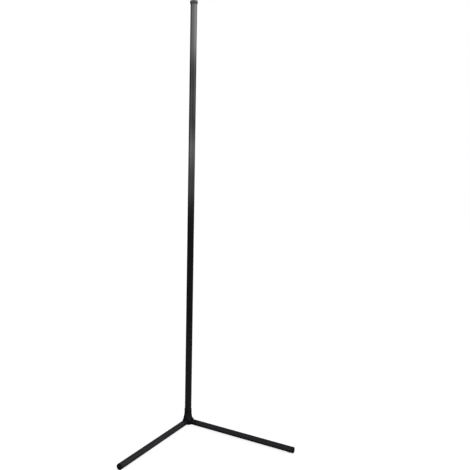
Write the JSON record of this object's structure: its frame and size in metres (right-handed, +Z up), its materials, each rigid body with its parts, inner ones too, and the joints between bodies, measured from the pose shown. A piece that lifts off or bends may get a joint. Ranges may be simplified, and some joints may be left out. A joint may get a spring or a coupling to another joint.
{
  "type": "corner floor lamp",
  "caption": "Slim floor lamp for a room corner: thin black mast with a rear light strip, turning in the collar of a low cast hub on straight tube legs set in a V.",
  "frame": {"origin": "on the floor under the axis of the mast, at the middle of the hub's foot pad", "axes": "+Z up along the mast; the legs open in a V toward -Y, mirrored about X = 0; the light slot faces +Y"},
  "size_m": [0.53, 0.2842, 1.4],
  "materials": {
    "hub_black": "satin",
    "leg_black": "satin",
    "mast_black": "satin",
    "cap_black": "matte",
    "cap_gloss": "satin",
    "rubber_black": "matte",
    "screw_black": "satin",
    "bush_plastic": "matte",
    "spigot_metal": "satin",
    "joiner_metal": "satin",
    "spring_steel": "satin",
    "contact_metal": "gloss",
    "lead_black": "matte",
    "board_white": "satin",
    "chip_yellow": "gloss",
    "diffuser_milky": "satin"
  },
  "bodies": {
    "base": {"hub_casting": "hub_black", "hub_bottom_plate": "hub_black", "hub_plate_screw_1": "screw_black", "hub_plate_screw_2": "screw_black", "hub_plate_screw_3": "screw_black", "hub_foot_pad": "rubber_black", "leg_tube_right": "leg_black", "leg_tube_left": "leg_black", "leg_end_cap_right": "cap_black", "leg_end_cap_left": "cap_black", "leg_foot_pad_right": "rubber_black", "leg_foot_pad_left": "rubber_black", "leg_screw_right": "screw_black", "leg_screw_left": "screw_black", "power_inlet": "cap_black", "inlet_pin": "contact_metal", "inlet_lead": "lead_black", "collar_bush": "bush_plastic", "collar_set_screw": "screw_black"},
    "mast": {"foot_spigot": "spigot_metal", "spigot_circlip": "spring_steel", "stop_pin": "spring_steel", "mast_section_1": "mast_black", "mast_section_2": "mast_black", "mast_section_3": "mast_black", "mast_section_4": "mast_black", "joiner_1": "joiner_metal", "joiner_2": "joiner_metal", "joiner_3": "joiner_metal", "lock_screw_1": "screw_black", "lock_screw_2": "screw_black", "lock_screw_3": "screw_black", "lock_screw_4": "screw_black", "lock_screw_5": "screw_black", "lock_screw_6": "screw_black", "lock_screw_7": "screw_black", "lock_screw_8": "screw_black", "top_cap": "cap_gloss", "light_board": "board_white", "light_chips": "chip_yellow", "diffuser": "diffuser_milky", "strip_lead": "lead_black"}
  },
  "joints": [
    {"name": "mast_turn", "type": "hinge", "parent": "base", "child": "mast", "pos_m": [0, 0, 0.0516], "axis": [0, 0, 1], "range_deg": [-45, 45]}
  ]
}
